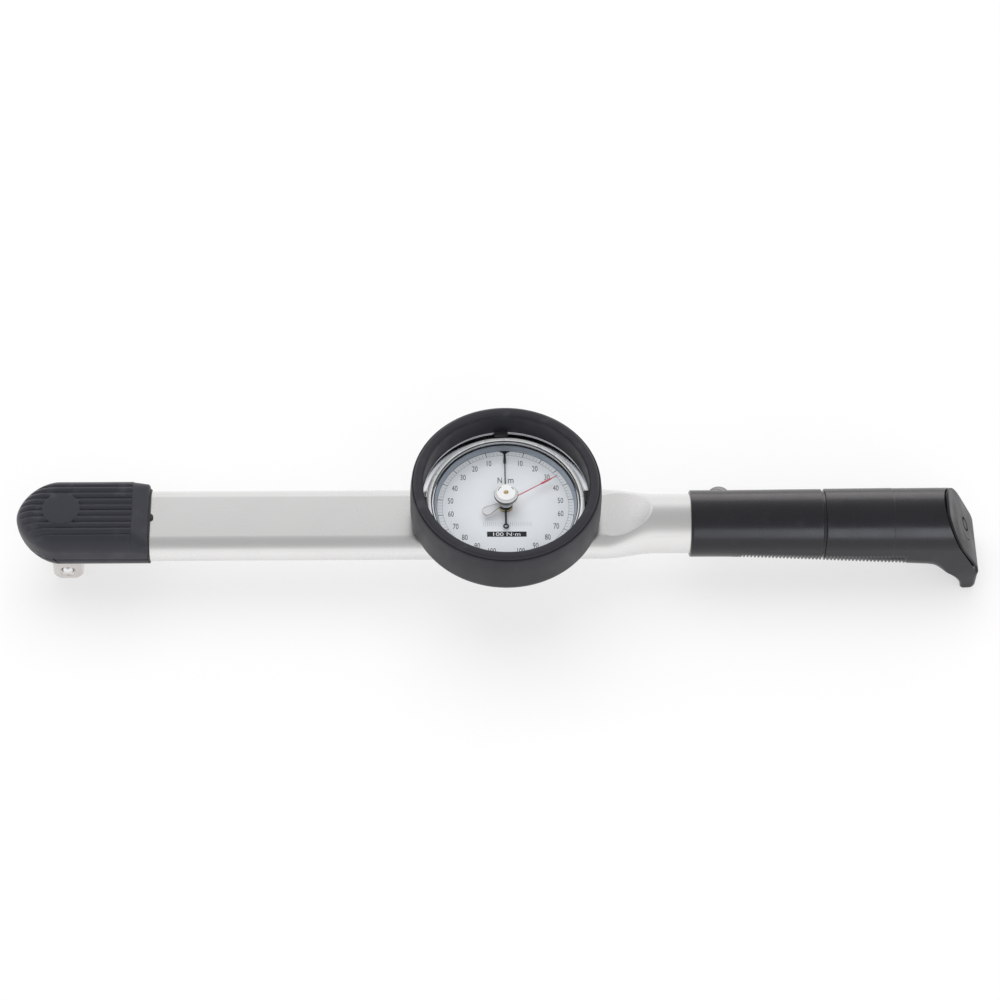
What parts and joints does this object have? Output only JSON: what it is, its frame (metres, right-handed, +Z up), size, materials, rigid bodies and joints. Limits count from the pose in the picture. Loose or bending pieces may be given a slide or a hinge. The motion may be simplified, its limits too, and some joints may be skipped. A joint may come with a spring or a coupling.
{
  "type": "dial torque wrench",
  "caption": "Torsion-bar dial torque wrench with a square drive, geared pointer, red memory pointer in a turning scale ring, flat-to-round arm tube and a moulded grip with a heel.",
  "frame": {"origin": "centre of the square drive, in the plane of the shoulder that a socket butts against", "axes": "+X from the drive towards the handle, +Z up out of the dial, so the square drive points along -Z and 0 on the scale lies towards +Y"},
  "size_m": [0.4213, 0.083, 0.0632],
  "materials": {
    "cover_rubber": "satin elastomer cover, faint grain",
    "seal_rubber": "matte",
    "housing_steel": "machined",
    "fastener_steel": "machined",
    "fastener_black": "black oxide, satin",
    "spring_steel": "ground",
    "bronze": "sintered, oiled",
    "brass": "machined",
    "satin_chrome": "satin chrome, fine lengthwise brushing",
    "case_black": "satin black",
    "grip_black": "gloss moulded",
    "drive_chrome": "polished",
    "pointer_black": "matte black",
    "bezel_chrome": "polished, turned",
    "dial_white": "matte off-white with black printing",
    "lens_clear": "clear acrylic dome",
    "guard_rubber": "satin moulded",
    "memory_red": "matte red",
    "knob_white": "white moulded"
  },
  "bodies": {
    "frame": {"head_cover": "cover_rubber", "drive_seal": "seal_rubber", "head_housing": "housing_steel", "head_cap": "housing_steel", "cap_pins": "fastener_steel", "cap_screws": "fastener_black", "torsion_bar": "spring_steel", "spindle_bush": "bronze", "thrust_washer": "bronze", "tang_rivets": "fastener_steel", "tube": "satin_chrome", "case_gasket": "seal_rubber", "dial_case": "case_black", "case_screws": "fastener_steel", "nut_plate": "fastener_steel", "movement_bridge": "brass", "bridge_pillars": "brass", "bridge_screws": "fastener_steel", "upper_bush": "bronze", "lower_bush": "bronze", "hairspring_stud": "brass", "hairspring": "spring_steel", "bezel_snap_ring": "spring_steel", "grip": "grip_black", "grip_screw": "fastener_black", "grip_nut": "fastener_steel", "end_plug": "seal_rubber"},
    "drive": {"drive_spindle": "drive_chrome", "lever": "housing_steel", "lever_screw": "fastener_black", "sector_rack": "brass", "rack_rivets": "brass", "detent_spring": "spring_steel"},
    "detent": {"detent_ball": "drive_chrome"},
    "pointer": {"pinion": "brass", "hairspring_collet": "brass", "main_pointer": "pointer_black", "pointer_hub": "brass"},
    "scale_ring": {"bezel": "bezel_chrome", "dial_plate": "dial_white", "lens_gasket": "seal_rubber", "lens": "lens_clear", "guard": "guard_rubber", "guard_band": "bezel_chrome"},
    "memory_hand": {"memory_pointer": "memory_red", "memory_tail": "knob_white", "memory_post": "knob_white", "friction_spring": "spring_steel", "knob": "knob_white", "knob_screw": "brass"}
  },
  "joints": [
    {"name": "drive_twist", "type": "hinge", "parent": "frame", "child": "drive", "pos_m": [0, 0, 0.016], "axis": [0, 0, 1], "range_deg": [-1.82, 1.82]},
    {"name": "ball_press", "type": "slide", "parent": "drive", "child": "detent", "axis": [0, 1, 0], "range_m": [0, 0.0009], "deforming": ["detent_spring"]},
    {"name": "pointer_turn", "type": "hinge", "parent": "frame", "child": "pointer", "pos_m": [0.1926, 0, 0.016], "axis": [0, 0, 1], "range_deg": [-166, 166], "deforming": ["hairspring"]},
    {"name": "scale_turn", "type": "hinge", "parent": "frame", "child": "scale_ring", "pos_m": [0.1926, 0, 0.016], "axis": [0, 0, 1], "continuous": true},
    {"name": "memory_turn", "type": "hinge", "parent": "scale_ring", "child": "memory_hand", "pos_m": [0.1926, 0, 0.016], "axis": [0, 0, 1], "continuous": true}
  ],
  "couplings": [
    {"joint": "pointer_turn", "follows": "drive_twist", "ratio": -90.714}
  ]
}
